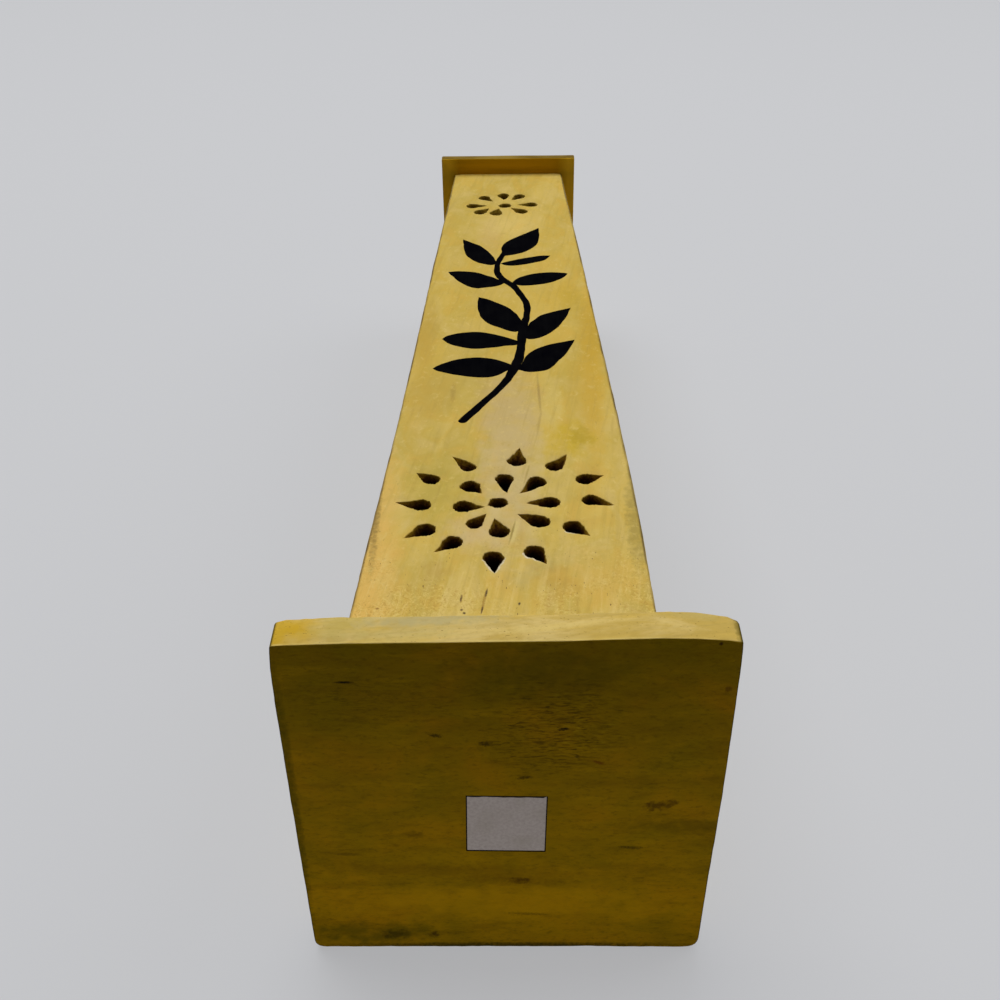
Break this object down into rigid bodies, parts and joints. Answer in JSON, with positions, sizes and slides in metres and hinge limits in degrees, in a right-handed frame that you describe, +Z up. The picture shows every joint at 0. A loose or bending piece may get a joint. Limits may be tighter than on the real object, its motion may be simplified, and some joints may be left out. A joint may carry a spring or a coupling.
{
  "type": "incense tower",
  "caption": "Tapered square wooden incense tower with pierced flowers and a painted leaf branch on its front, a square foot and a lift-off lid that holds a stick inside.",
  "frame": {"origin": "middle of the foot board's underside", "axes": "+Z up the tower, -Y out of the pierced front, +X to the right seen from the front"},
  "size_m": [0.089, 0.09, 0.3055],
  "materials": {
    "yellow_wood": "yellow stained, thin satin varnish",
    "foot_wood": "yellow stained, sanded edges",
    "raw_wood": "bare sawn",
    "brass": "dull, ash stained",
    "steel": "dull wire",
    "paper": "matt paper",
    "black_paint": "flat black paint of the leaf branch"
  },
  "bodies": {
    "tower": {"base_plate": "foot_wood", "floor_block": "raw_wood", "ash_plate": "brass", "ash_plate_pin": "brass", "front_panel": "yellow_wood", "right_panel": "yellow_wood", "back_panel": "yellow_wood", "left_panel": "yellow_wood", "label_slip": "paper", "floor_screw_left": "steel", "floor_screw_right": "steel", "corner_brad_front_left_1": "steel", "corner_brad_front_left_2": "steel", "corner_brad_front_left_3": "steel", "corner_brad_front_left_4": "steel", "corner_brad_back_left_1": "steel", "corner_brad_back_left_2": "steel", "corner_brad_back_left_3": "steel", "corner_brad_back_left_4": "steel", "corner_brad_front_right_1": "steel", "corner_brad_front_right_2": "steel", "corner_brad_front_right_3": "steel", "corner_brad_front_right_4": "steel", "corner_brad_back_right_1": "steel", "corner_brad_back_right_2": "steel", "corner_brad_back_right_3": "steel", "corner_brad_back_right_4": "steel", "foot_brad_front_1": "steel", "foot_brad_front_2": "steel", "foot_brad_back_1": "steel", "foot_brad_back_2": "steel", "foot_brad_left_1": "steel", "foot_brad_left_2": "steel", "foot_brad_right_1": "steel", "foot_brad_right_2": "steel"},
    "lid": {"lid_plate": "yellow_wood", "lid_plug": "raw_wood", "lid_brad_left": "steel", "lid_brad_right": "steel"}
  },
  "joints": [
    {"name": "lid_lift", "type": "slide", "parent": "tower", "child": "lid", "axis": [0, 0, 1], "range_m": [0, 0.06]}
  ]
}
